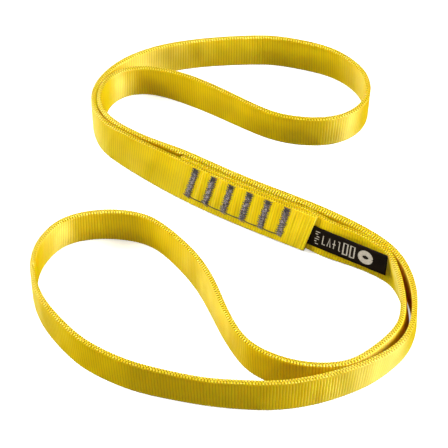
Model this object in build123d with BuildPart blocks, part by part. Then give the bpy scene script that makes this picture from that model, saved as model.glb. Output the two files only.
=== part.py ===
"""Sewn round sling: one length of flat nylon webbing whose two ends overlap and are
joined by a row of bar tacks, with a folded woven label held under the outer end.

The sling stands on the edge of its webbing, folded into an S: doubled strands run
between two opened end loops. Millimetres, +Z up, +X along the row of loops' long
chord to the right, +Y away from the front. Origin: middle of the base.
"""
import math
import os

from build123d import *

os.makedirs("parts", exist_ok=True)

# ---------------------------------------------------------------- driving dimensions
webbing_width = 18.5          # across the weave, selvage to selvage
webbing_thickness = 2.4      # through the weave
layer_slit = 0.22            # left between the two sewn layers
tail_lift = 0.6           # the outer end is sewn this much higher than the inner one
tail_extra = 2.7         # straight run past the last route point
tail_cut_slant = 9.7     # the hot-cut end is this many degrees off square

tack_count = 6
tack_from_tail = 12.3     # last tack's middle to the last route point
tack_pitch = 9.57
tack_length = 15.6
tack_width = 2.9
tack_proud = 0.45            # height of the thread pad over the weave
tack_sunk = 0.30             # how deep the pad bites into the weave
tack_short = 1.4             # the core and the back of the tack are this much shorter
tack_core = 1.3              # width of the stitched core that goes through both layers
tack_slant = 6.9        # degrees off square to the webbing
tack_rise = 1.1              # tack's middle above the webbing's middle line

thread_diameter = 0.55       # needle thread carried over from tack to tack
thread_sunk = 0.12

label_inset = 1.20           # ribbon's middle in front of the slit between the layers
label_width = 9.6            # folded woven ribbon
label_thickness = 0.7        # two plies
label_drop = 0.6         # ribbon's middle below the webbing's middle line, at the seam
label_anchor_length = 15.0   # sewn length under the outer end
hinge_gap = 0.75             # bending line left between the sewn part and the flap
label_free = (69.80, -40.75, 13.8)         # (x, y, z) of the middle of the flap's free end
label_free_lean = 15.7    # lean of the free end's width from upright, degrees

# Route of the webbing's middle line as it lies, from the hidden inner end, round the
# sling, to the outer end: x, y and the lean of the width from upright in degrees
# (positive leans the top to the left of the direction of travel). Evenly spaced.
route = [
    (-20.03, 21.57, 19.25),
    (-8.92, 14.09, 21.65),
    (2.13, 6.81, 21.05),
    (13.63, -0.15, 20.26),
    (25.66, -7.15, 19.23),
    (36.51, -13.15, 18.23),
    (45.60, -19.91, 15.03),
    (58.20, -26.92, 8.44),
    (69.49, -35.15, 0.78),
    (74.78, -44.21, -7.76),
    (77.08, -58.22, -9.97),
    (75.74, -72.27, -5.13),
    (70.59, -82.59, 0.10),
    (59.99, -92.94, 3.64),
    (49.63, -98.75, 5.93),
    (36.96, -99.75, 5.75),
    (23.66, -96.56, 4.69),
    (12.32, -89.67, 3.68),
    (5.18, -79.74, 2.84),
    (-0.16, -67.23, -0.32),
    (-4.65, -54.78, -2.53),
    (-10.16, -42.51, -2.18),
    (-17.23, -31.45, -0.13),
    (-26.38, -20.65, 2.59),
    (-36.14, -13.97, 3.53),
    (-49.92, -11.43, 5.02),
    (-63.85, -13.37, 7.67),
    (-74.00, -20.01, 6.62),
    (-80.36, -31.98, 3.89),
    (-81.42, -44.68, 0.80),
    (-78.54, -57.70, -1.94),
    (-72.53, -69.39, -2.37),
    (-63.86, -80.64, -2.28),
    (-55.07, -88.92, -3.38),
    (-43.22, -96.29, -4.47),
    (-31.26, -101.30, -5.46),
    (-18.25, -105.00, -6.79),
    (-5.17, -107.86, -7.15),
    (7.71, -109.19, -5.62),
    (21.06, -109.53, -5.28),
    (34.38, -107.52, -5.14),
    (46.49, -103.69, -6.13),
    (60.12, -97.18, -8.31),
    (70.99, -88.57, -10.49),
    (77.71, -78.48, -4.60),
    (81.03, -65.18, 2.67),
    (80.58, -52.33, 4.30),
    (76.86, -39.88, 4.68),
    (69.83, -29.53, 5.14),
    (59.94, -20.18, 7.98),
    (49.63, -12.11, 11.38),
    (38.59, -4.55, 14.51),
    (27.37, 2.41, 17.32),
    (15.97, 9.26, 19.24),
    (4.77, 16.27, 20.10),
    (-6.59, 23.45, 19.69),
    (-17.72, 30.01, 18.00),
    (-29.83, 35.75, 15.43),
    (-41.73, 42.29, 11.68),
    (-51.97, 50.72, 8.06),
    (-57.49, 62.35, 3.85),
    (-55.69, 76.16, -1.18),
    (-47.26, 84.89, -6.58),
    (-35.29, 86.63, -7.36),
    (-22.02, 82.36, -3.64),
    (-10.21, 76.10, -1.79),
    (1.17, 68.58, -2.83),
    (12.17, 60.86, -4.79),
    (23.34, 54.22, -7.33),
    (35.92, 50.57, -7.94),
    (49.98, 50.66, -7.86),
    (61.39, 56.40, -6.41),
    (67.75, 67.08, -3.13),
    (67.81, 80.64, 2.42),
    (61.70, 91.98, 5.45),
    (51.84, 100.40, 5.34),
    (39.01, 105.77, 4.58),
    (25.68, 109.07, 5.07),
    (13.41, 109.55, 5.28),
    (-0.49, 108.62, 6.08),
    (-13.41, 106.87, 6.74),
    (-26.51, 103.65, 6.27),
    (-38.52, 98.38, 5.25),
    (-49.20, 90.44, 3.71),
    (-57.20, 79.46, 2.03),
    (-60.80, 67.17, 0.37),
    (-58.80, 53.98, -0.59),
    (-52.43, 43.91, 3.53),
    (-41.70, 34.41, 9.13),
    (-31.06, 26.05, 14.67),
    (-20.72, 18.67, 19.66),
    (-9.52, 11.10, 21.84),
    (1.78, 3.72, 20.97),
    (13.36, -3.23, 20.17),
    (24.40, -9.63, 19.22),
    (37.75, -17.14, 18.00),
]


# ------------------------------------------------------------------------- route maths
def natural_spline(values):
    """Second derivatives of the natural cubic spline through evenly spaced values."""
    n = len(values)
    m, c, d = [0.0] * n, [0.0] * n, [0.0] * n
    for i in range(1, n - 1):
        rhs = 6.0 * (values[i + 1] - 2.0 * values[i] + values[i - 1])
        den = 4.0 - c[i - 1]
        c[i] = 1.0 / den
        d[i] = (rhs - d[i - 1]) / den
    for i in range(n - 2, 0, -1):
        m[i] = d[i] - c[i] * m[i + 1]
    return m


columns = [[p[k] for p in route] for k in range(3)]
seconds = [natural_spline(col) for col in columns]


def spline_at(k, u):
    """Value and slope of column k at u, counted in route points."""
    i = min(max(int(u), 0), len(route) - 2)
    b = u - i
    a = 1.0 - b
    y0, y1 = columns[k][i], columns[k][i + 1]
    m0, m1 = seconds[k][i], seconds[k][i + 1]
    value = a * y0 + b * y1 + ((a ** 3 - a) * m0 + (b ** 3 - b) * m1) / 6.0
    slope = y1 - y0 + (-(3 * a * a - 1) * m0 + (3 * b * b - 1) * m1) / 6.0
    return value, slope


last = len(route) - 1
lift_from, lift_to = 0.915 * last, 0.945 * last


class Station:
    """Place on the route: middle, travel, thickness and width directions."""

    def __init__(self, u, past=0.0):
        x, dx = spline_at(0, u)
        y, dy = spline_at(1, u)
        lean, _ = spline_at(2, u)
        phi = math.radians(lean)
        h = math.hypot(dx, dy)
        tx, ty = dx / h, dy / h
        ramp = min(max((u - lift_from) / (lift_to - lift_from), 0.0), 1.0)
        ramp = ramp * ramp * (3.0 - 2.0 * ramp)
        z = (webbing_width / 2) * math.cos(phi) + (webbing_thickness / 2) * abs(math.sin(phi))
        z += tail_lift * ramp
        self.travel = Vector(tx, ty, 0)
        self.middle = Vector(x, y, z) + self.travel * past
        self.side = Vector(-ty * math.cos(phi), tx * math.cos(phi), -math.sin(phi))
        self.width = Vector(-ty * math.sin(phi), tx * math.sin(phi), math.cos(phi))

    def section_plane(self):
        return Plane(origin=self.middle, x_dir=self.side, z_dir=self.travel)

    def face_point(self, across, out):
        """Point on the outer layer's front: across the width, and out from the face."""
        return self.middle + self.width * across - self.side * (webbing_thickness / 2 + out)


def route_u():
    """Stations dense where the webbing bends, sparse where it runs straight."""
    us, u = [0.0], 0.0
    while u < last:
        (_, ax), (_, ay) = spline_at(0, u), spline_at(1, u)
        (_, bx), (_, by) = spline_at(0, min(u + 0.2, last)), spline_at(1, min(u + 0.2, last))
        (_, _), (_, la) = spline_at(0, u), spline_at(2, u)
        pace = math.hypot(ax, ay)
        turn = abs(math.atan2(ax * by - ay * bx, ax * bx + ay * by)) / (0.2 * pace)
        step = math.sqrt(8.0 * 0.05 / max(turn, 1e-4))
        step = min(max(step, 2.2), 7.0)
        u += step / pace
        us.append(u)
    us[-1] = float(last)
    if us[-1] - us[-2] < 0.12:
        us.pop(-2)
    return us


def u_before_end(distance):
    """Route value at a distance along the webbing before the last route point."""
    u, left = float(last), distance
    while left > 0:
        (_, ax), (_, ay) = spline_at(0, u), spline_at(1, u)
        pace = math.hypot(ax, ay)
        step = min(left, 0.5)
        u -= step / pace
        left -= step
    return u


# ------------------------------------------------------------------------------- tacks
def tack_frame(i):
    """Plane on the outer layer's front: x along the tack, z out of the webbing."""
    s = Station(u_before_end(tack_from_tail + (tack_count - 1 - i) * tack_pitch))
    slant = math.radians(tack_slant)
    along = s.width * math.cos(slant) + s.travel * math.sin(slant)
    origin = s.face_point(tack_rise, 0.0)
    return Plane(origin=origin, x_dir=along, z_dir=s.side * -1.0)


layers_depth = 2 * webbing_thickness + layer_slit

tacks = []
for i in range(tack_count):
    plane = tack_frame(i)
    with BuildPart() as tack:
        with BuildSketch(plane.offset(-tack_sunk)):
            RectangleRounded(tack_length, tack_width, 0.9)
        extrude(amount=tack_sunk + tack_proud)
        fillet(tack.edges().group_by(Axis(origin=plane.origin, direction=plane.z_dir))[-1], 0.3)
        with BuildSketch(plane.offset(-tack_sunk)):
            Rectangle(tack_length - tack_short, tack_core)
        extrude(amount=-(layers_depth - 2 * tack_sunk))
        with BuildSketch(plane.offset(-layers_depth + tack_sunk)):
            RectangleRounded(tack_length - tack_short, tack_width, 0.9)
        extrude(amount=-tack_sunk)
    tack.part.label = "bar_tack_%d" % (i + 1)
    tacks.append(tack.part)


# ------------------------------------------------------------------- carried-over thread
threads = []
for i in range(tack_count - 1):
    a, b = tack_frame(i), tack_frame(i + 1)
    low = -tack_length / 2 + 0.9
    start = a.origin + a.x_dir * low + a.z_dir * (thread_diameter / 2 - thread_sunk)
    end = b.origin + b.x_dir * low + b.z_dir * (thread_diameter / 2 - thread_sunk)
    run = (end - start).normalized()
    start, end = start + run * (tack_width / 2), end - run * (tack_width / 2)
    with BuildPart() as thread:
        with BuildSketch(Plane(origin=start, z_dir=run)):
            Circle(thread_diameter / 2)
        extrude(amount=(end - start).length)
    part = thread.part
    for t in (tacks[i], tacks[i + 1]):
        part = part - t
    part = Part(part.solids().sort_by(SortBy.VOLUME)[-1].wrapped) if len(part.solids()) > 1 else part
    part.label = "jump_thread_%d" % (i + 1)
    threads.append(part)


# -------------------------------------------------------------------------------- label
end_station = Station(float(last), tail_extra)


def ribbon_plane(station):
    """Section plane of the ribbon in the slit behind the outer layer."""
    origin = station.middle - station.width * label_drop
    origin = origin + station.side * (webbing_thickness / 2 + layer_slit / 2 - label_inset)
    return Plane(origin=origin, x_dir=station.side, z_dir=station.travel)


with BuildPart() as anchor:
    steps = 5
    for k in range(steps + 1):
        d = label_anchor_length * (1 - k / steps)
        st = Station(u_before_end(d - tail_extra)) if d > tail_extra else Station(float(last), tail_extra - d)
        with BuildSketch(ribbon_plane(st)):
            Rectangle(label_thickness, label_width)
    loft(ruled=True)

seam = ribbon_plane(end_station)
hinge_point = seam.origin + seam.z_dir * hinge_gap
free_end = Vector(*label_free)
chord = free_end - hinge_point
flat = Vector(chord.X, chord.Y, 0).normalized()
left = Vector(-flat.Y, flat.X, 0)
lean = math.radians(label_free_lean)
end_width = left * math.sin(lean) + Vector(0, 0, 1) * math.cos(lean)

with BuildPart() as flap:
    pieces = 8
    for k in range(pieces + 1):
        f = k / pieces
        g = f * f * (3 - 2 * f)
        along = (seam.z_dir * (1 - g) + chord.normalized() * g).normalized()
        wide = seam.y_dir * (1 - g) + end_width * g
        wide = (wide - along * wide.dot(along)).normalized()
        with BuildSketch(Plane(origin=hinge_point + chord * f, x_dir=wide.cross(along), z_dir=along)):
            Rectangle(label_thickness, label_width)
    loft(ruled=True)


# ------------------------------------------------------------------------------ webbing
with BuildPart() as band:
    for u in route_u()[:-1]:
        with BuildSketch(Station(u).section_plane()):
            Rectangle(webbing_thickness, webbing_width)
    # the outer end is cut a little off square: its top edge reaches furthest
    slant = math.radians(tail_cut_slant)
    middle = Station(float(last), tail_extra - webbing_width / 2 * math.tan(slant)).middle
    square = end_station.travel * math.cos(slant) - end_station.width * math.sin(slant)
    with BuildSketch(Plane(origin=middle, x_dir=end_station.side, z_dir=square)):
        Rectangle(webbing_thickness, webbing_width / math.cos(slant))
    loft(ruled=True)

webbing = band.part
label_anchor = anchor.part
for t in tacks:
    label_anchor = label_anchor - t
for piece in tacks + threads + [anchor.part]:
    webbing = webbing - piece


# ------------------------------------------------------------------------------- export
def one(part, name):
    """The part as one labelled solid."""
    solids = part.solids().sort_by(SortBy.VOLUME)
    for stray in solids[:-1]:
        print(name, "drops a stray of", round(stray.volume, 4), "mm3")
    solid = solids[-1]
    solid.label = name
    return solid


nodes = [one(webbing, "webbing")]
nodes += [one(p, "bar_tack_%d" % (i + 1)) for i, p in enumerate(tacks)]
nodes += [one(p, "jump_thread_%d" % (i + 1)) for i, p in enumerate(threads)]
nodes += [one(label_anchor, "label_anchor"), one(flap.part, "label_flap")]
for n in nodes:
    export_step(n, os.path.join("parts", n.label + ".step"))
    b = n.bounding_box()
    print(n.label, "valid", n.is_valid, "mm3", round(n.volume, 2),
          "box", [round(v, 2) for v in (b.min.X, b.min.Y, b.min.Z, b.max.X, b.max.Y, b.max.Z)])
print("hinge point", hinge_point, "axis", seam.y_dir * -1.0)
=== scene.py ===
"""Looks of the sewn webbing sling: ribbed satin webbing, zigzag bar tacks, carried-over
thread and a folded woven label. Metres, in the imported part's frame."""
import math

import bmesh
import bpy
import numpy as np
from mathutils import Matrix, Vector


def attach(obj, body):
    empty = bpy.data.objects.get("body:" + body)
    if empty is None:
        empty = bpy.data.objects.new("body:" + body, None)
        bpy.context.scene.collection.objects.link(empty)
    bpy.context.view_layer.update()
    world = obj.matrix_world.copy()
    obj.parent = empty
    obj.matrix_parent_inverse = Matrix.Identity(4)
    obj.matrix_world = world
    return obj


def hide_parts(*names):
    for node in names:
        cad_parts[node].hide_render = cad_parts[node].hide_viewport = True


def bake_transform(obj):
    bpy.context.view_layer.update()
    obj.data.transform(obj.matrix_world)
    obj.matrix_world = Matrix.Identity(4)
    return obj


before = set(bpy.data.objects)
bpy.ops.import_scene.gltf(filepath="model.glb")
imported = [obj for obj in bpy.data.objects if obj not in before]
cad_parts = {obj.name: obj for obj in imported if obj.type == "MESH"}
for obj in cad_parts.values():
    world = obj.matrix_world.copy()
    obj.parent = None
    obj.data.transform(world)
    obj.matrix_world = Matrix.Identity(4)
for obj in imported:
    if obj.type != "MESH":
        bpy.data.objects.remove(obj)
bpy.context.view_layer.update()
MM = 0.001
scene = bpy.context.scene
rng = np.random.default_rng(7)

# --------------------------------------------------------------------------- camera
cam_data = bpy.data.cameras.new("camera")
cam_data.sensor_width = 36.0
cam_data.lens = 145.5
cam_data.clip_start, cam_data.clip_end = 0.01, 20.0
cam = bpy.data.objects.new("camera", cam_data)
scene.collection.objects.link(cam)
cam.location = (0.499 * MM, (-1.954 - 817.0 * math.cos(math.radians(45))) * MM, 817.0 * math.sin(math.radians(45)) * MM)
cam.rotation_euler = (math.radians(45), 0, 0)
scene.camera = cam

# --------------------------------------------------------------------------- route
W, T = 18.5, 2.4                      # webbing width and thickness, mm
SLIT, LIFT, EXTRA, SLANT = 0.22, 0.6, 2.7, 9.7
TACKS, TACK_END, TACK_PITCH, TACK_LEN, TACK_WID, TACK_SLANT, TACK_RISE = 6, 12.3, 9.57, 15.6, 2.9, 6.9, 1.1
RIB = 1.27                            # rib pitch, mm
ROUTE = np.array([
    (-20.03, 21.57, 19.25), (-8.92, 14.09, 21.65), (2.13, 6.81, 21.05),
    (13.63, -0.15, 20.26), (25.66, -7.15, 19.23), (36.51, -13.15, 18.23),
    (45.60, -19.91, 15.03), (58.20, -26.92, 8.44), (69.49, -35.15, 0.78),
    (74.78, -44.21, -7.76), (77.08, -58.22, -9.97), (75.74, -72.27, -5.13),
    (70.59, -82.59, 0.10), (59.99, -92.94, 3.64), (49.63, -98.75, 5.93),
    (36.96, -99.75, 5.75), (23.66, -96.56, 4.69), (12.32, -89.67, 3.68),
    (5.18, -79.74, 2.84), (-0.16, -67.23, -0.32), (-4.65, -54.78, -2.53),
    (-10.16, -42.51, -2.18), (-17.23, -31.45, -0.13), (-26.38, -20.65, 2.59),
    (-36.14, -13.97, 3.53), (-49.92, -11.43, 5.02), (-63.85, -13.37, 7.67),
    (-74.00, -20.01, 6.62), (-80.36, -31.98, 3.89), (-81.42, -44.68, 0.80),
    (-78.54, -57.70, -1.94), (-72.53, -69.39, -2.37), (-63.86, -80.64, -2.28),
    (-55.07, -88.92, -3.38), (-43.22, -96.29, -4.47), (-31.26, -101.30, -5.46),
    (-18.25, -105.00, -6.79), (-5.17, -107.86, -7.15), (7.71, -109.19, -5.62),
    (21.06, -109.53, -5.28), (34.38, -107.52, -5.14), (46.49, -103.69, -6.13),
    (60.12, -97.18, -8.31), (70.99, -88.57, -10.49), (77.71, -78.48, -4.60),
    (81.03, -65.18, 2.67), (80.58, -52.33, 4.30), (76.86, -39.88, 4.68),
    (69.83, -29.53, 5.14), (59.94, -20.18, 7.98), (49.63, -12.11, 11.38),
    (38.59, -4.55, 14.51), (27.37, 2.41, 17.32), (15.97, 9.26, 19.24),
    (4.77, 16.27, 20.10), (-6.59, 23.45, 19.69), (-17.72, 30.01, 18.00),
    (-29.83, 35.75, 15.43), (-41.73, 42.29, 11.68), (-51.97, 50.72, 8.06),
    (-57.49, 62.35, 3.85), (-55.69, 76.16, -1.18), (-47.26, 84.89, -6.58),
    (-35.29, 86.63, -7.36), (-22.02, 82.36, -3.64), (-10.21, 76.10, -1.79),
    (1.17, 68.58, -2.83), (12.17, 60.86, -4.79), (23.34, 54.22, -7.33),
    (35.92, 50.57, -7.94), (49.98, 50.66, -7.86), (61.39, 56.40, -6.41),
    (67.75, 67.08, -3.13), (67.81, 80.64, 2.42), (61.70, 91.98, 5.45),
    (51.84, 100.40, 5.34), (39.01, 105.77, 4.58), (25.68, 109.07, 5.07),
    (13.41, 109.55, 5.28), (-0.49, 108.62, 6.08), (-13.41, 106.87, 6.74),
    (-26.51, 103.65, 6.27), (-38.52, 98.38, 5.25), (-49.20, 90.44, 3.71),
    (-57.20, 79.46, 2.03), (-60.80, 67.17, 0.37), (-58.80, 53.98, -0.59),
    (-52.43, 43.91, 3.53), (-41.70, 34.41, 9.13), (-31.06, 26.05, 14.67),
    (-20.72, 18.67, 19.66), (-9.52, 11.10, 21.84), (1.78, 3.72, 20.97),
    (13.36, -3.23, 20.17), (24.40, -9.63, 19.22), (37.75, -17.14, 18.00),
])


def spline(values):
    """Natural cubic through evenly spaced values: value and slope at u."""
    n = len(values)
    a = np.zeros((n, n))
    r = np.zeros_like(values)
    a[0, 0] = a[-1, -1] = 1.0
    for i in range(1, n - 1):
        a[i, i - 1:i + 2] = 1.0, 4.0, 1.0
        r[i] = 6.0 * (values[i + 1] - 2 * values[i] + values[i - 1])
    m = np.linalg.solve(a, r)

    def at(u):
        i = np.clip(u.astype(int), 0, n - 2)
        b = (u - i)[:, None]
        c = 1 - b
        v = c * values[i] + b * values[i + 1] + ((c ** 3 - c) * m[i] + (b ** 3 - b) * m[i + 1]) / 6
        d = values[i + 1] - values[i] + (-(3 * c * c - 1) * m[i] + (3 * b * b - 1) * m[i + 1]) / 6
        return v, d

    return at


curve = spline(ROUTE)
LAST = len(ROUTE) - 1
_u = np.linspace(0, LAST, 12001)
_v, _ = curve(_u)
_s = np.r_[0, np.cumsum(np.hypot(*np.diff(_v[:, :2], axis=0).T))]
LENGTH = float(_s[-1])


def stations(s):
    """Middle, travel, side and width directions at distances s (mm) along the webbing."""
    s = np.atleast_1d(np.asarray(s, float))
    past = np.maximum(s - LENGTH, 0)
    u = np.interp(np.minimum(s, LENGTH), _s, _u)
    v, d = curve(u)
    phi = np.radians(v[:, 2])
    h = np.hypot(d[:, 0], d[:, 1])
    tx, ty = d[:, 0] / h, d[:, 1] / h
    r = np.clip((u - 0.915 * LAST) / (0.03 * LAST), 0, 1)
    r = r * r * (3 - 2 * r)
    z = W / 2 * np.cos(phi) + T / 2 * np.abs(np.sin(phi)) + LIFT * r
    travel = np.c_[tx, ty, np.zeros_like(tx)]
    middle = np.c_[v[:, 0], v[:, 1], z] + travel * past[:, None]
    side = np.c_[-ty * np.cos(phi), tx * np.cos(phi), -np.sin(phi)]
    width = np.c_[-ty * np.sin(phi), tx * np.sin(phi), np.cos(phi)]
    return middle, travel, side, width


# --------------------------------------------------------------------------- helpers
def mesh_object(name, verts_mm, faces, uv=None, smooth=True, attrs=None):
    me = bpy.data.meshes.new(name)
    me.from_pydata((np.asarray(verts_mm) * MM).tolist(), [], [tuple(int(i) for i in f) for f in faces])
    me.update()
    if smooth:
        me.polygons.foreach_set("use_smooth", [True] * len(me.polygons))
    if uv is not None:
        layer = me.uv_layers.new(name="UVMap")
        loops = np.zeros(len(me.loops), int)
        me.loops.foreach_get("vertex_index", loops)
        layer.data.foreach_set("uv", np.asarray(uv, np.float32)[loops].ravel())
    for key, values in (attrs or {}).items():
        at = me.attributes.new(key, "FLOAT", "POINT")
        at.data.foreach_set("value", np.asarray(values, np.float32))
    ob = bpy.data.objects.new(name, me)
    scene.collection.objects.link(ob)
    return ob


class Nodes:
    """Short way to write a node tree."""

    def __init__(self, name):
        self.mat = bpy.data.materials.new(name)
        self.mat.use_nodes = True
        self.nt = self.mat.node_tree
        self.nt.nodes.clear()
        self.out = self.nt.nodes.new("ShaderNodeOutputMaterial")
        self.bsdf = self.nt.nodes.new("ShaderNodeBsdfPrincipled")
        self.nt.links.new(self.bsdf.outputs[0], self.out.inputs[0])

    def node(self, kind, **props):
        n = self.nt.nodes.new(kind)
        for k, v in props.items():
            setattr(n, k, v)
        return n

    def put(self, socket, value):
        if hasattr(value, "is_output"):
            self.nt.links.new(value, socket)
        else:
            socket.default_value = value

    def math(self, op, a, b=0.0, c=None):
        n = self.node("ShaderNodeMath", operation=op)
        self.put(n.inputs[0], a)
        self.put(n.inputs[1], b)
        if c is not None:
            self.put(n.inputs[2], c)
        return n.outputs[0]

    def noise(self, vector, scale, detail=3.0, rough=0.55):
        n = self.node("ShaderNodeTexNoise")
        self.put(n.inputs["Vector"], vector)
        n.inputs["Scale"].default_value = scale
        n.inputs["Detail"].default_value = detail
        n.inputs["Roughness"].default_value = rough
        return n.outputs["Fac"]

    def ramp(self, fac, stops):
        n = self.node("ShaderNodeValToRGB")
        cr = n.color_ramp
        while len(cr.elements) < len(stops):
            cr.elements.new(0.5)
        for e, (pos, col) in zip(cr.elements, stops):
            e.position = pos
            e.color = (*col, 1.0) if len(col) == 3 else col
        self.put(n.inputs[0], fac)
        return n.outputs[0]

    def mix(self, fac, a, b, kind="MIX"):
        n = self.node("ShaderNodeMix", data_type="RGBA", blend_type=kind)
        self.put(n.inputs[0], fac)
        self.put(n.inputs[6], a if hasattr(a, "is_output") else (*a, 1.0))
        self.put(n.inputs[7], b if hasattr(b, "is_output") else (*b, 1.0))
        return n.outputs[2]

    def range(self, value, a, b, c=0.0, d=1.0, smooth=False):
        n = self.node("ShaderNodeMapRange")
        if smooth:
            n.interpolation_type = "SMOOTHSTEP"
        self.put(n.inputs[0], value)
        for k, x in zip((1, 2, 3, 4), (a, b, c, d)):
            self.put(n.inputs[k], x)
        return n.outputs[0]

    def bump(self, height, strength, distance, normal=None):
        n = self.node("ShaderNodeBump")
        n.inputs["Strength"].default_value = strength
        n.inputs["Distance"].default_value = distance
        self.put(n.inputs["Height"], height)
        if normal is not None:
            self.put(n.inputs["Normal"], normal)
        return n.outputs[0]


# --------------------------------------------------------------------------- webbing
def webbing_material():
    m = Nodes("nylon_webbing")
    uv = m.node("ShaderNodeUVMap", uv_map="UVMap").outputs[0]
    sep = m.node("ShaderNodeSeparateXYZ")
    m.put(sep.inputs[0], uv)
    along, across = sep.outputs[0], sep.outputs[1]      # ribs counted, mm round the section
    geo = m.node("ShaderNodeNewGeometry").outputs["Position"]
    edge = m.node("ShaderNodeAttribute", attribute_name="edge").outputs["Fac"]
    tail = m.node("ShaderNodeAttribute", attribute_name="tail").outputs["Fac"]

    # weft ribs: a narrow groove between rounded ridges
    ph = m.math("FRACT", along)
    dist = m.math("ABSOLUTE", m.math("SUBTRACT", ph, 0.5))           # 0.5 in the groove
    groove = m.range(dist, 0.30, 0.5, 0.0, 1.0, smooth=True)
    # warp yarns lie along the webbing, stepped by half a yarn on every second rib
    row = m.math("FLOOR", along)
    yarn = m.math("FRACT", m.math("ADD", m.math("MULTIPLY", across, 1 / 0.62), m.math("MULTIPLY", row, 0.5)))
    yarn_d = m.math("ABSOLUTE", m.math("SUBTRACT", yarn, 0.5))
    yarn_gap = m.range(yarn_d, 0.34, 0.5, 0.0, 1.0, smooth=True)
    # filaments inside each yarn
    comb = m.node("ShaderNodeCombineXYZ")
    m.put(comb.inputs[0], m.math("MULTIPLY", along, 0.55))
    m.put(comb.inputs[1], m.math("MULTIPLY", across, 9.0))
    fibre = m.noise(comb.outputs[0], 1.0, 2.0, 0.6)
    comb2 = m.node("ShaderNodeCombineXYZ")
    m.put(comb2.inputs[0], m.math("MULTIPLY", along, 1.0))
    m.put(comb2.inputs[1], m.math("MULTIPLY", across, 0.05))
    rowvar = m.noise(comb2.outputs[0], 1.0, 1.0, 0.5)
    broad = m.noise(geo, 45.0, 3.0, 0.55)
    # on the selvage the turned weft shows as two staggered rows of small knots
    knot = m.math("FRACT", m.math("ADD", along, m.range(m.math("FRACT", m.math("MULTIPLY", m.math("SUBTRACT", across, 18.81), 1 / 2.6)), 0.47, 0.53, 0.0, 0.5)))
    knot_d = m.math("ABSOLUTE", m.math("SUBTRACT", knot, 0.5))
    pit = m.math("MULTIPLY", m.range(knot_d, 0.14, 0.38, 0.0, 1.0, smooth=True), m.range(edge, 0.2, 0.6))

    base = m.ramp(m.range(broad, 0.3, 0.7), [(0.0, (0.67, 0.462, 0.0002)), (0.5, (0.76, 0.535, 0.0003)), (1.0, (0.84, 0.600, 0.0004))])
    base = m.mix(m.math("MULTIPLY", rowvar, 0.22), base, (0.86, 0.64, 0.0006))
    # painted shade: the rib grooves and the gaps between warp yarns are darkened in the colour
    base = m.mix(m.math("MULTIPLY", groove, 0.52), base, (0.21, 0.098, 0.0002))
    base = m.mix(m.math("MULTIPLY", yarn_gap, 0.28), base, (0.21, 0.098, 0.0002))
    base = m.mix(m.math("MULTIPLY", m.range(fibre, 0.35, 0.75), 0.20), base, (0.91, 0.68, 0.0008))
    # painted shade: the whole selvage rim is darkened in the colour, standing in for less light on the rim
    base = m.mix(m.math("MULTIPLY", edge, 0.50), base, (0.54, 0.37, 0.0004))
    # painted shade: dark dots in the pits between the selvage knots
    base = m.mix(m.math("MULTIPLY", pit, 0.78), base, (0.13, 0.072, 0.0004))
    # hot-cut end: the weave is glazed paler
    base = m.mix(m.math("MULTIPLY", tail, 0.18), base, (0.93, 0.70, 0.04))
    m.put(m.bsdf.inputs["Base Color"], base)
    rough = m.range(fibre, 0.2, 0.8, 0.33, 0.42)
    rough = m.math("ADD", rough, m.math("MULTIPLY", groove, 0.12))
    rough = m.math("SUBTRACT", rough, m.math("MULTIPLY", tail, 0.08))
    m.put(m.bsdf.inputs["Roughness"], rough)
    tan = m.node("ShaderNodeTangent", direction_type="UV_MAP", uv_map="UVMap").outputs[0]
    m.put(m.bsdf.inputs["Tangent"], tan)
    m.bsdf.inputs["Anisotropic"].default_value = 0.95
    m.bsdf.inputs["Anisotropic Rotation"].default_value = 0.25
    m.bsdf.inputs["IOR"].default_value = 1.85
    m.put(m.bsdf.inputs["Specular IOR Level"], m.math("MULTIPLY", 1.0, m.math("SUBTRACT", 1.0, m.math("MULTIPLY", pit, 0.85))))
    m.bsdf.inputs["Specular Tint"].default_value = (1.0, 1.0, 0.40, 1.0)
    m.bsdf.inputs["Sheen Weight"].default_value = 0.0
    m.bsdf.inputs["Subsurface Weight"].default_value = 0.45
    m.bsdf.inputs["Subsurface Radius"].default_value = (1.0, 0.55, 0.04)
    m.bsdf.inputs["Subsurface Scale"].default_value = 0.0040
    m.bsdf.inputs["Sheen Roughness"].default_value = 0.35
    m.bsdf.inputs["Sheen Tint"].default_value = (1.0, 0.78, 0.02, 1.0)
    h = m.math("SUBTRACT", 1.0, m.math("MULTIPLY", groove, 0.8))
    h = m.math("SUBTRACT", h, m.math("MULTIPLY", yarn_gap, 0.35))
    h = m.math("ADD", h, m.math("MULTIPLY", fibre, 0.30))
    h = m.math("SUBTRACT", h, m.math("MULTIPLY", pit, 0.9))
    # the strip is never quite flat: slow waves break the sheen into patches
    wave = m.node("ShaderNodeCombineXYZ")
    m.put(wave.inputs[0], m.math("MULTIPLY", along, 0.10))
    m.put(wave.inputs[1], m.math("MULTIPLY", across, 0.05))
    slow = m.bump(m.noise(wave.outputs[0], 1.0, 1.0, 0.4), 1.0, 0.0013)
    m.put(m.bsdf.inputs["Normal"], m.bump(h, 0.55, 0.00010, slow))
    return m.mat


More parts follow.
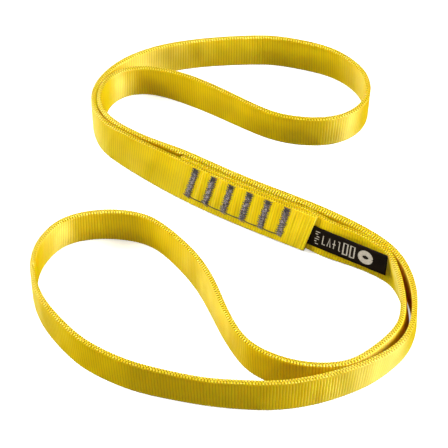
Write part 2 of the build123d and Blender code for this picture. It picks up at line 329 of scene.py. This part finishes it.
def section_profile():
    """Points round the section: (across, through, normal across, normal through, arc mm, edge)."""
    r = 0.62
    pts = []
    n_face = 8
    a0, b0 = W / 2 - r, T / 2 - r
    arc = 0.0

    def add(a, b, na, nb, e):
        pts.append([a, b, na, nb, e])

    # front face (through = -T/2), bottom to top
    for k in range(n_face):
        f = k / (n_face - 1)
        a = -a0 + 2 * a0 * f
        add(a, -T / 2, 0, -1, 0.0)
    for ang in (30, 60, 90):
        c, s = math.cos(math.radians(ang)), math.sin(math.radians(ang))
        add(a0 + r * s, -b0 - r * c, s, -c, 0.5 if ang < 60 else 1.0)
    add(W / 2, 0.0, 1, 0, 1.0)
    for ang in (90, 60, 30):
        c, s = math.cos(math.radians(ang)), math.sin(math.radians(ang))
        add(a0 + r * s, b0 + r * c, s, c, 0.5 if ang < 60 else 1.0)
    for k in range(n_face):
        f = k / (n_face - 1)
        a = a0 - 2 * a0 * f
        add(a, T / 2, 0, 1, 0.0)
    for ang in (30, 60, 90):
        c, s = math.cos(math.radians(ang)), math.sin(math.radians(ang))
        add(-a0 - r * s, b0 + r * c, -s, c, 0.5 if ang < 60 else 1.0)
    add(-W / 2, 0.0, -1, 0, 1.0)
    for ang in (90, 60, 30):
        c, s = math.cos(math.radians(ang)), math.sin(math.radians(ang))
        add(-a0 - r * s, -b0 - r * c, -s, -c, 0.5 if ang < 60 else 1.0)
    p = np.array(pts)
    d = np.r_[0, np.cumsum(np.hypot(*np.diff(p[:, :2], axis=0).T))]
    return np.c_[p, d]


def build_webbing():
    prof = section_profile()
    total = LENGTH + EXTRA
    per_rib = 4
    n = int(total / RIB * per_rib)
    s = np.arange(n + 1) * (total / n)
    s[-1] = total
    mid, tr, side, wid = stations(s)
    ph = (s / RIB) % 1.0
    groove = np.clip((np.abs(ph - 0.5) - 0.28) / 0.22, 0, 1)           # 1 in the groove
    groove = groove * groove * (3 - 2 * groove)
    wob = rng.normal(0, 1, (n + 1,))
    # the free strand swells into the seam beside the sewn layers
    swell = np.zeros(n + 1)
    mate = (s < 112)
    top = mid + wid * (W / 2 - 0.6)
    for i in np.where((s > 622) & (s < 752))[0]:
        d = top[mate, :2] - top[i, :2]
        gap = np.hypot(d[:, 0], d[:, 1])
        j = gap.argmin()
        fade = min(1.0, (s[i] - 622) / 12, (752 - s[i]) / 12)
        swell[i] = math.copysign(np.clip(gap[j] - T - 0.34, 0, 0.95) * fade, float(d[j] @ side[i, :2]))
    m = len(prof)
    verts = np.zeros((n + 1, m, 3))
    uv = np.zeros((n + 1, m, 2))
    edge = np.zeros((n + 1, m))
    tail = np.zeros((n + 1, m))
    end_off = (W / 2 - prof[:, 0]) * math.tan(math.radians(SLANT))     # the cut is off square
    for j, (a, b, na, nb, e, arc) in enumerate(prof):
        near_edge = (abs(a) / (W / 2)) ** 8
        depth = 0.045 + 0.10 * near_edge + 0.12 * e
        # the turned weft stands in two staggered rows of beads on the selvage
        half_step = 0.5 if (b > 0.3) != (a > 0) else 0.0
        g = groove
        if e and abs(b) > 0.1:
            ph2 = (s / RIB + half_step) % 1.0
            g = np.clip((np.abs(ph2 - 0.5) - 0.15) / 0.35, 0, 1)
        d = depth * g + 0.008 * wob - 0.10 * (e > 0) - 0.03
        # low crown: the faces are a little fuller in the middle than by the selvage
        crown = 0.10 * (1 - abs(nb)) * 0 + (0.08 * (abs(a) / (W / 2)) ** 2 if e == 0 else 0.08)
        off = -(d + (crown if abs(nb) > 0.5 and e == 0 else 0.02))
        # heat-set ridges run beside the cut
        if abs(nb) > 0.5 and e == 0:
            off = off + (0.07 * np.sin(2 * np.pi * (total - s) / 1.9) + 0.08 * np.sin(2 * np.pi * (total - s) / 5.1 + 0.8)) * np.clip((s - (total - 13.5)) / 3.0, 0, 1)
        # the tacks draw the face in and it stands up a little between them
        if nb < -0.5 and e == 0:
            first = LENGTH - (TACK_END + (TACKS - 1) * TACK_PITCH)
            lean = (a - TACK_RISE) * math.tan(math.radians(TACK_SLANT))
            q = (s - first - lean) / TACK_PITCH
            span = np.clip((q + 0.6) / 0.3, 0, 1) * np.clip((TACKS - 0.4 - q) / 0.3, 0, 1)
            band = np.clip((TACK_LEN / 2 + 1.2 - abs(a - TACK_RISE)) / 2.4, 0, 1)
            off = off - 0.24 * span * band * np.cos(2 * np.pi * q) ** 3
        # squash the last stations onto the slanted cut
        squeeze = np.clip((s - (total - 30)) / 30, 0, 1)
        shift = -end_off[j] * squeeze ** 1.0
        grow = swell * min(1.0, abs(b) / (T / 2 - 0.2)) * (np.sign(swell) == np.sign(b))
        pos = mid + wid * (a + na * off)[:, None] + side * (b + nb * off + grow)[:, None] + tr * shift[:, None]
        verts[:, j] = pos
        uv[:, j, 0] = s / RIB
        uv[:, j, 1] = arc
        edge[:, j] = e
        tail[:, j] = np.clip((s - (total - 13.0)) / 4.0, 0, 1)
    idx = np.arange((n + 1) * m).reshape(n + 1, m)
    a = idx[:-1, :]
    b = idx[1:, :]
    quads = np.stack([a, np.roll(a, -1, 1), np.roll(b, -1, 1), b], -1).reshape(-1, 4)
    faces = quads.tolist()
    faces.append(idx[0, ::-1].tolist())
    faces.append(idx[-1, :].tolist())
    ob = mesh_object("webbing_band", verts.reshape(-1, 3), faces, uv.reshape(-1, 2), True,
                     {"edge": edge.ravel(), "tail": tail.ravel()})
    bm = bmesh.new()
    bm.from_mesh(ob.data)
    bmesh.ops.recalc_face_normals(bm, faces=bm.faces)
    bm.to_mesh(ob.data)
    bm.free()
    ob.data.materials.append(webbing_material())
    return ob


webbing = build_webbing()
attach(webbing, "sling")
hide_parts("webbing")


# --------------------------------------------------------------------------- threads
def thread_material(name, light, dark):
    m = Nodes(name)
    uv = m.node("ShaderNodeUVMap", uv_map="UVMap").outputs[0]
    sep = m.node("ShaderNodeSeparateXYZ")
    m.put(sep.inputs[0], uv)
    # twisted plies: slanted stripes along the thread
    twist = m.math("FRACT", m.math("ADD", m.math("MULTIPLY", sep.outputs[0], 2.2), m.math("MULTIPLY", sep.outputs[1], 2.0)))
    d = m.math("ABSOLUTE", m.math("SUBTRACT", twist, 0.5))
    gap = m.range(d, 0.3, 0.5, 0.0, 1.0, smooth=True)
    geo = m.node("ShaderNodeNewGeometry").outputs["Position"]
    n = m.noise(geo, 1100.0, 2.0, 0.6)
    # mottled light and dark: partly the thread's uneven tone, partly painted highlights on the filaments and painted
    # shade in the gaps between them
    col = m.mix(m.range(n, 0.42, 0.60), light, dark)
    # painted shade in the gaps between the twisted plies
    col = m.mix(m.math("MULTIPLY", gap, 0.65), col, tuple(c * 0.3 for c in dark))
    shade = m.node("ShaderNodeAttribute", attribute_name="shade").outputs["Fac"]
    col = m.mix(m.math("MULTIPLY", shade, 0.92), col, tuple(c * 0.22 for c in dark))
    m.put(m.bsdf.inputs["Base Color"], col)
    m.put(m.bsdf.inputs["Roughness"], m.range(n, 0.3, 0.7, 0.38, 0.6))
    m.bsdf.inputs["Sheen Weight"].default_value = 0.25
    h = m.math("SUBTRACT", 1.0, gap)
    m.put(m.bsdf.inputs["Normal"], m.bump(h, 0.6, 0.00012))
    return m.mat


def tube(paths, radii, sides=6):
    """Closed tubes through smooth point lists, as one vertex and face list with UVs in mm."""
    verts, faces, uvs = [], [], []
    for pts, rad in zip(paths, radii):
        p = np.asarray(pts, float)
        t = np.gradient(p, axis=0)
        t /= np.linalg.norm(t, axis=1)[:, None]
        ref = np.array([0.31, 0.2, 0.93])
        n1 = np.cross(t, ref)
        n1 /= np.linalg.norm(n1, axis=1)[:, None]
        n2 = np.cross(t, n1)
        run = np.r_[0, np.cumsum(np.linalg.norm(np.diff(p, axis=0), axis=1))]
        base = len(verts)
        r = np.full(len(p), rad)
        r[0] *= 0.35
        r[-1] *= 0.35
        for i in range(len(p)):
            for k in range(sides):
                a = 2 * math.pi * k / sides
                verts.append(p[i] + r[i] * (math.cos(a) * n1[i] + math.sin(a) * n2[i]))
                uvs.append((run[i], k / sides))
        for i in range(len(p) - 1):
            for k in range(sides):
                a, b = base + i * sides + k, base + i * sides + (k + 1) % sides
                faces.append((a, b, b + sides, a + sides))
        faces.append(tuple(base + k for k in range(sides))[::-1])
        faces.append(tuple(base + (len(p) - 1) * sides + k for k in range(sides)))
    return verts, faces, uvs


def smooth_path(corners, per=5):
    """Catmull-Rom through the corners."""
    c = np.asarray(corners, float)
    c = np.vstack([2 * c[0] - c[1], c, 2 * c[-1] - c[-2]])
    out = []
    for i in range(1, len(c) - 2):
        for k in range(per):
            x = k / per
            out.append(0.5 * (2 * c[i] + (c[i + 1] - c[i - 1]) * x + (2 * c[i - 1] - 5 * c[i] + 4 * c[i + 1] - c[i + 2]) * x ** 2
                              + (3 * c[i] - c[i - 1] - 3 * c[i + 1] + c[i + 2]) * x ** 3))
    out.append(c[-2])
    return np.array(out)


def tack_basis(i):
    s = LENGTH - (TACK_END + (TACKS - 1 - i) * TACK_PITCH)
    mid, tr, side, wid = (v[0] for v in stations(s))
    sl = math.radians(TACK_SLANT)
    along = wid * math.cos(sl) + tr * math.sin(sl)
    out = -side
    cross = np.cross(out, along)
    origin = mid + wid * TACK_RISE - side * (T / 2)
    return origin, along, cross, out


tack_mat = thread_material("tack_thread", (0.50, 0.42, 0.45), (0.055, 0.042, 0.047))
# painted shade: the underlay and core threads are coloured near-black so the gaps between the zigzag stitches read dark
bed_mat = thread_material("tack_underlay", (0.020, 0.016, 0.016), (0.006, 0.005, 0.005))
for i in range(TACKS):
    origin, along, cross, out = tack_basis(i)
    zig, bed = ([], []), ([], [])
    for face in (0, 1):
        sign = 1.0 if face == 0 else -1.0
        # on the front the thread stands proud; on the back it lies in the weave
        lift = 0.10 if face == 0 else -(2 * T + SLIT) + 0.30
        length = TACK_LEN if face == 0 else TACK_LEN - 1.4
        # lengthwise threads under the zigzag
        for off in (-0.86, -0.30, 0.30, 0.86):
            line = [origin + along * (-length / 2 + 0.5 + f * (length - 1.0)) + cross * (off + 0.07 * math.sin(9 * f + i + off)) + out * (lift - sign * 0.02)
                    for f in np.linspace(0, 1, 20)]
            bed[0].append(np.array(line))
            bed[1].append(0.25)
        periods = 14 if face == 0 else 12
        corners = []
        for k in range(periods * 2 + 1):
            f = k / (periods * 2)
            a = -length / 2 + 0.30 + f * (length - 0.6)
            half = (TACK_WID / 2 + 0.30 if face == 0 else TACK_WID / 2 - 0.15) * (1 + 0.09 * rng.normal())
            c = half * (1 if k % 2 else -1)
            a += 0.10 * rng.normal()
            low = origin + along * a + cross * c + out * (lift - sign * 0.42)
            top = origin + along * (a + 0.05) + cross * c * 0.93 + out * (lift + sign * 0.14)
            mids = origin + along * (a + (length - 0.6) / periods / 4) + out * (lift + sign * 0.32)
            if k:
                corners.append(origin + along * (a - 0.05) + cross * c * 0.93 + out * (lift + sign * 0.14))
            corners += [low, top, mids]
        zig[0].append(smooth_path(corners[:-2], 3))
        zig[1].append(0.150)
    # stitched core through both layers
    for a in np.linspace(-TACK_LEN / 2 + 1.2, TACK_LEN / 2 - 1.2, 12):
        for c in (-0.42, 0.42):
            bed[0].append(np.array([origin + along * a + cross * c + out * z for z in np.linspace(-0.2, -(2 * T + SLIT) + 0.2, 4)]))
            bed[1].append(0.16)
    v, f, uv = tube(*zig, sides=7)
    v2, f2, uv2 = tube(*bed, sides=6)
    allv = np.array(v + v2)
    up = (allv - origin) @ along
    ends = np.clip((up - (TACK_LEN / 2 - 3.6)) / 1.6, 0, 1) + 0.6 * np.clip((-up - (TACK_LEN / 2 - 1.2)) / 0.8, 0, 1)
    sides = np.clip((np.abs((allv - origin) @ cross) - 0.80) / 0.45, 0, 1)
    ob = mesh_object("bar_tack_threads_%d" % (i + 1), v + v2, f + [tuple(n + len(v) for n in q) for q in f2], uv + uv2, True,
                     {"shade": np.maximum(ends, 0.92 * sides)})
    ob.data.materials.append(tack_mat)
    ob.data.materials.append(bed_mat)
    ob.data.polygons.foreach_set("material_index", [0] * len(f) + [1] * len(f2))
    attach(ob, "sling")
    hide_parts("bar_tack_%d" % (i + 1))

jump_mat = thread_material("carried_thread", (0.026, 0.015, 0.008), (0.010, 0.006, 0.003))
for i in range(TACKS - 1):
    oa, aa, ca, na = tack_basis(i)
    ob_, ab, cb, nb = tack_basis(i + 1)
    low = -TACK_LEN / 2 + 0.9
    pa = oa + aa * low + na * 0.05
    pb = ob_ + ab * low + nb * 0.05
    run = (pb - pa) / np.linalg.norm(pb - pa)
    pa, pb = pa + run * (TACK_WID / 2 - 0.25), pb - run * (TACK_WID / 2 - 0.25)
    pts = []
    for f in np.linspace(0, 1, 18):
        bow = math.sin(math.pi * f)
        dip = -0.25 * (1 - min(1, f / 0.12)) - 0.25 * (1 - min(1, (1 - f) / 0.12))
        pts.append(pa + (pb - pa) * f - aa * 0.22 * bow * (0.6 + 0.4 * math.sin(i * 2.3)) + na * (0.10 * bow + dip + 0.1))
    v, f, uv = tube([np.array(pts)], [0.235], 8)
    ob = mesh_object("carried_thread_%d" % (i + 1), v, f, uv)
    ob.data.materials.append(jump_mat)
    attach(ob, "sling")
    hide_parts("jump_thread_%d" % (i + 1))


# --------------------------------------------------------------------------- label
L_W, L_T, L_DROP, L_IN, L_ANCHOR, L_GAP = 9.6, 0.7, 0.6, 1.20, 15.0, 0.75
FREE = np.array([70.51, -41.29, 13.91])
FREE_LEAN = 15.7


def ribbon_station(d):
    """Middle and directions of the sewn ribbon, d mm before the webbing's outer end."""
    mid, tr, side, wid = (v[0] for v in stations(LENGTH + EXTRA - d))
    return mid - wid * L_DROP + side * (T / 2 + SLIT / 2 - L_IN), tr, side, wid


seam_o, seam_t, seam_s, seam_w = ribbon_station(0.0)
HINGE = seam_o + seam_t * L_GAP
chord = FREE - HINGE
chord_n = chord / np.linalg.norm(chord)
flat = chord * [1, 1, 0]
flat /= np.linalg.norm(flat)
left = np.array([-flat[1], flat[0], 0])
_l = math.radians(FREE_LEAN)
END_W = left * math.sin(_l) + np.array([0, 0, 1.0]) * math.cos(_l)
FLAP = float(np.linalg.norm(chord))


def ribbon_frame(x):
    """Ribbon's middle line: x mm past the bending line (negative in the seam)."""
    if x <= -L_GAP:
        o, t, s_, w_ = ribbon_station(-x - L_GAP)
        return o, t, s_, w_
    if x < 0:
        return seam_o + seam_t * (x + L_GAP), seam_t, seam_s, seam_w
    f = min(x / FLAP, 1.0)
    g = f * f * (3 - 2 * f)
    al = seam_t * (1 - g) + chord_n * g
    al /= np.linalg.norm(al)
    wd = seam_w * (1 - g) + END_W * g
    wd = wd - al * np.dot(wd, al)
    wd /= np.linalg.norm(wd)
    sd = np.cross(wd, al)
    return HINGE + chord * f, al, sd, wd


def label_material():
    m = Nodes("woven_label")
    uv = m.node("ShaderNodeUVMap", uv_map="UVMap").outputs[0]
    sep = m.node("ShaderNodeSeparateXYZ")
    m.put(sep.inputs[0], uv)
    x, y = sep.outputs[0], sep.outputs[1]
    fx = m.math("ABSOLUTE", m.math("SUBTRACT", m.math("FRACT", m.math("MULTIPLY", x, 1 / 0.34)), 0.5))
    fy = m.math("ABSOLUTE", m.math("SUBTRACT", m.math("FRACT", m.math("ADD", m.math("MULTIPLY", y, 1 / 0.30), m.math("MULTIPLY", m.math("FLOOR", m.math("MULTIPLY", x, 1 / 0.34)), 0.5))), 0.5))
    gx = m.range(fx, 0.32, 0.5, 0.0, 1.0, smooth=True)
    gy = m.range(fy, 0.32, 0.5, 0.0, 1.0, smooth=True)
    geo = m.node("ShaderNodeNewGeometry").outputs["Position"]
    n = m.noise(geo, 260.0, 3.0, 0.6)
    fine = m.noise(geo, 2600.0, 2.0, 0.6)
    col = m.mix(m.range(n, 0.3, 0.7), (0.0045, 0.0028, 0.0020), (0.0095, 0.0058, 0.0036))
    col = m.mix(m.math("MULTIPLY", m.range(fine, 0.45, 0.7), 0.30), col, (0.016, 0.010, 0.007))
    # painted shade in the gaps between the label's weave threads
    col = m.mix(m.math("MULTIPLY", m.math("MAXIMUM", gx, gy), 0.7), col, (0.002, 0.0015, 0.002))
    m.put(m.bsdf.inputs["Base Color"], col)
    m.put(m.bsdf.inputs["Roughness"], m.range(fine, 0.3, 0.7, 0.5, 0.7))
    m.bsdf.inputs["Specular IOR Level"].default_value = 0.08
    h = m.math("SUBTRACT", 1.0, m.math("MAXIMUM", gx, gy))
    m.put(m.bsdf.inputs["Normal"], m.bump(h, 0.5, 0.00008))
    return m.mat


def mark_material():
    m = Nodes("woven_marks")
    uv = m.node("ShaderNodeUVMap", uv_map="UVMap").outputs[0]
    sep = m.node("ShaderNodeSeparateXYZ")
    m.put(sep.inputs[0], uv)
    x, y = sep.outputs[0], sep.outputs[1]
    fx = m.math("ABSOLUTE", m.math("SUBTRACT", m.math("FRACT", m.math("MULTIPLY", x, 1 / 0.34)), 0.5))
    gx = m.range(fx, 0.25, 0.5, 0.0, 1.0, smooth=True)
    geo = m.node("ShaderNodeNewGeometry").outputs["Position"]
    n = m.noise(geo, 2200.0, 3.0, 0.6)
    col = m.mix(m.range(n, 0.35, 0.65), (0.52, 0.47, 0.41), (0.30, 0.27, 0.24))
    # painted shade in the gaps between the threads of the marks
    col = m.mix(m.math("MULTIPLY", gx, 0.35), col, (0.16, 0.14, 0.13))
    m.put(m.bsdf.inputs["Base Color"], col)
    m.bsdf.inputs["Roughness"].default_value = 0.55
    m.put(m.bsdf.inputs["Normal"], m.bump(m.math("SUBTRACT", n, gx), 0.5, 0.00008))
    return m.mat


label_mat, mark_mat = label_material(), mark_material()


def build_label():
    """Folded ribbon: two plies with the fold at the free end, in one closed mesh."""
    xs = np.r_[np.linspace(-L_GAP - L_ANCHOR, -L_GAP, 16), np.linspace(-L_GAP, 2.0, 8)[1:], np.linspace(2.0, FLAP, 46)[1:]]
    ys = np.linspace(-L_W / 2, L_W / 2, 15)
    ply = L_T / 2
    rows = []
    # path round the fold: front ply out, rounded fold, rear ply back
    for x in xs:
        rows.append((x, -1, 0.0))
    for ang in np.linspace(-60, 60, 5):
        rows.append((FLAP, 0, ang))
    for x in xs[::-1]:
        rows.append((x, 1, 0.0))
    verts, uvs = [], []
    run, prev = 0.0, None
    for x, sgn, ang in rows:
        o, t, s_, w_ = ribbon_frame(min(x, FLAP - 0.35))
        o = o + t * max(0.0, x - (FLAP - 0.35)) * 0
        if x > FLAP - 0.35:
            o = ribbon_frame(FLAP - 0.35)[0]
        wave = 0.05 * math.sin(x * 0.55) * min(1, max(0, x) / 8)
        if sgn:
            off = sgn * ply * (1.0 if x > -L_GAP - 13 else 0.9) + wave
            push = 0.0
        else:
            off = ply * math.sin(math.radians(ang)) + wave
            push = 0.35 * math.cos(math.radians(ang))
        cur = o + s_ * off + t * push
        if prev is not None:
            run += float(np.linalg.norm(cur - prev))
        prev = cur
        for y in ys:
            e = abs(y) / (L_W / 2)
            pinch = 1 - 0.35 * e ** 8
            verts.append(o + s_ * off * pinch + t * push + w_ * y)
            uvs.append((run, y))
    m = len(ys)
    n = len(rows)
    idx = np.arange(n * m).reshape(n, m)
    faces = []
    for i in range(n - 1):
        for j in range(m - 1):
            faces.append((idx[i, j], idx[i, j + 1], idx[i + 1, j + 1], idx[i + 1, j]))
    # the two plies meet along both woven edges and at the sewn end
    half = len(xs)
    for j in (0, m - 1):
        ring = idx[:, j]
        for i in range(n // 2):
            a, b = ring[i], ring[i + 1]
            c, d = ring[n - 2 - i], ring[n - 1 - i]
            if b == c:
                faces.append((a, b, d))
            else:
                faces.append((a, b, c, d))
    for j in range(m - 1):
        faces.append((idx[0, j], idx[0, j + 1], idx[n - 1, j + 1], idx[n - 1, j]))
    ob = mesh_object("label_ribbon", verts, faces, uvs)
    bm = bmesh.new()
    bm.from_mesh(ob.data)
    bmesh.ops.remove_doubles(bm, verts=bm.verts, dist=1e-7)
    bmesh.ops.recalc_face_normals(bm, faces=bm.faces)
    bm.to_mesh(ob.data)
    bm.free()
    ob.data.materials.append(label_mat)
    return ob


label = build_label()
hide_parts("label_anchor", "label_flap")
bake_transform(label)


def marks():
    """Generic woven marks on the flap's front: bars, rings and plain blocks only."""
    shapes = []

    def block(x0, x1, y0, y1):
        shapes.append([(x0, y0), (x1, y0), (x1, y1), (x0, y1)])

    def stroke(points, wdt):
        p = np.array(points, float)
        t = np.gradient(p, axis=0)
        t /= np.linalg.norm(t, axis=1)[:, None]
        nrm = np.c_[-t[:, 1], t[:, 0]]
        shapes.append(("strip", p + nrm * wdt / 2, p - nrm * wdt / 2))

    def ring(cx, cy, rx, ry, wdt, a0=0, a1=360, n=22):
        an = np.radians(np.linspace(a0, a1, n))
        stroke(np.c_[cx + rx * np.cos(an), cy + ry * np.sin(an)], wdt)

    # a ladder of short bars at the seam
    for k, (a, b) in enumerate(((0.0, 2.3), (0.0, 1.5), (0.9, 2.3), (0.0, 2.3), (0.0, 1.2), (0.7, 2.3))):
        y = 2.9 - 1.16 * k
        block(a, b, y - 0.17, y + 0.17)
    # four small signs: an angle, a chevron, a cross, a stepped line
    stroke([(4.3, 2.1), (4.3, -2.1), (5.8, -2.1)], 0.45)
    stroke([(6.9, -2.1), (7.7, 2.1), (8.5, -2.1)], 0.45)
    stroke([(10.3, -2.1), (10.3, 2.1)], 0.45)
    stroke([(9.5, 0.0), (11.1, 0.0)], 0.45)
    stroke([(12.2, 2.1), (13.0, 2.1), (13.0, -2.1), (13.8, -2.1)], 0.45)
    # two upright frames
    stroke([(15.2, -2.7), (15.2, 2.7), (17.3, 2.7), (17.3, -2.7), (14.85, -2.7)], 0.7)
    stroke([(18.9, -2.7), (18.9, 2.7), (21.0, 2.7), (21.0, -2.7), (18.55, -2.7)], 0.7)
    # a heavy round at the free end
    ring(26.8, 0.0, 2.75, 2.0, 2.3, 0, 360, 32)

    verts, faces, uvs = [], [], []

    def place(x, y):
        o, t, s_, w_ = ribbon_frame(x)
        wave = 0.05 * math.sin(x * 0.55) * min(1, max(0, x) / 8)
        return o, t, s_, w_, wave

    def put(x, y, h):
        o, t, s_, w_, wave = place(x, y)
        verts.append(o + w_ * y - s_ * (L_T / 2 - wave + h))
        uvs.append((x, y))
        return len(verts) - 1

    for sh in shapes:
        if isinstance(sh, tuple):
            la, lb = sh[1], sh[2]
        else:
            (x0, y0), (x1, _), (_, y1), _ = sh
            n = max(2, int(abs(x1 - x0) / 0.5) + 1)
            xs = np.linspace(x0, x1, n)
            la = np.c_[xs, np.full(n, y0)]
            lb = np.c_[xs, np.full(n, y1)]
        k = len(la)
        ta = [put(x, y, 0.07) for x, y in la]
        tb = [put(x, y, 0.07) for x, y in lb]
        ba = [put(x, y, -0.05) for x, y in la]
        bb = [put(x, y, -0.05) for x, y in lb]
        for i in range(k - 1):
            faces.append((ta[i], ta[i + 1], tb[i + 1], tb[i]))
            faces.append((ba[i], bb[i], bb[i + 1], ba[i + 1]))
            faces.append((ta[i], ba[i], ba[i + 1], ta[i + 1]))
            faces.append((tb[i], tb[i + 1], bb[i + 1], bb[i]))
        faces.append((ta[0], tb[0], bb[0], ba[0]))
        faces.append((ta[-1], ba[-1], bb[-1], tb[-1]))
    ob = mesh_object("label_marks", verts, faces, uvs, smooth=False)
    bm = bmesh.new()
    bm.from_mesh(ob.data)
    bmesh.ops.recalc_face_normals(bm, faces=bm.faces)
    bm.to_mesh(ob.data)
    bm.free()
    ob.data.materials.append(mark_mat)
    return ob


mark_ob = marks()
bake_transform(mark_ob)

# --------------------------------------------------------------------------- floor and light
fm = Nodes("floor")
fgeo = fm.node("ShaderNodeNewGeometry").outputs["Position"]
fn = fm.noise(fgeo, 6.0, 2.0, 0.5)
fm.bsdf.inputs["Emission Color"].default_value = (1.0, 1.0, 1.0, 1.0)
fm.bsdf.inputs["Emission Strength"].default_value = 0.55
fm.put(fm.bsdf.inputs["Base Color"], fm.mix(fm.range(fn, 0.3, 0.7), (0.93, 0.93, 0.93), (0.95, 0.95, 0.95)))
fm.bsdf.inputs["Roughness"].default_value = 0.8
fm.bsdf.inputs["Specular IOR Level"].default_value = 0.1
floor = mesh_object("floor", np.array([[-3000, -3000, -0.2], [3000, -3000, -0.2], [3000, 3000, -0.2], [-3000, 3000, -0.2]]), [(0, 1, 2, 3)], smooth=False)
floor.data.materials.append(fm.mat)
floor.visible_glossy = False
floor.visible_diffuse = False

world = bpy.data.worlds.new("studio")
world.use_nodes = True
world.node_tree.nodes["Background"].inputs[0].default_value = (1.0, 1.0, 1.0, 1.0)
world.node_tree.nodes["Background"].inputs[1].default_value = 0.24
world.cycles_visibility.glossy = False
scene.world = world


def area(name, loc, target, size, power, colour=(1, 1, 1), sheen_only=False, fill_only=False):
    d = bpy.data.lights.new(name, "AREA")
    d.shape = "RECTANGLE"
    d.size, d.size_y = size
    d.energy = power
    d.color = colour
    o = bpy.data.objects.new(name, d)
    scene.collection.objects.link(o)
    o.location = loc
    o.visible_diffuse = not sheen_only
    o.visible_transmission = not sheen_only
    o.visible_glossy = not fill_only
    o.rotation_euler = (Vector(target) - Vector(loc)).to_track_quat("-Z", "Y").to_euler()
    return o


area("fill_right", (0.87, -0.24, 0.60), (0, 0, 0), (0.40, 0.50), 20.8, (0.97, 1.0, 0.92), fill_only=True)
area("fill_left", (-0.89, 0.08, 0.62), (0, 0, 0), (0.40, 0.50), 18.0, (0.97, 1.0, 0.92), fill_only=True)
area("fill_front", (-0.10, -1.08, 0.20), (0, 0, 0), (0.50, 0.14), 3.6, fill_only=True)
area("sheen_right", (0.89, -0.38, 0.50), (0, 0, 0), (0.44, 0.80), 34.0, sheen_only=True)
area("sheen_left", (-0.77, 0.54, 0.55), (0, 0, 0), (0.34, 0.80), 16.0, sheen_only=True)
area("softbox_top", (0.0, 0.05, 1.20), (0, 0, 0), (1.2, 1.2), 1.0)


scene.view_settings.view_transform = "Standard"
scene.view_settings.look = "None"
scene.view_settings.exposure = 0.0
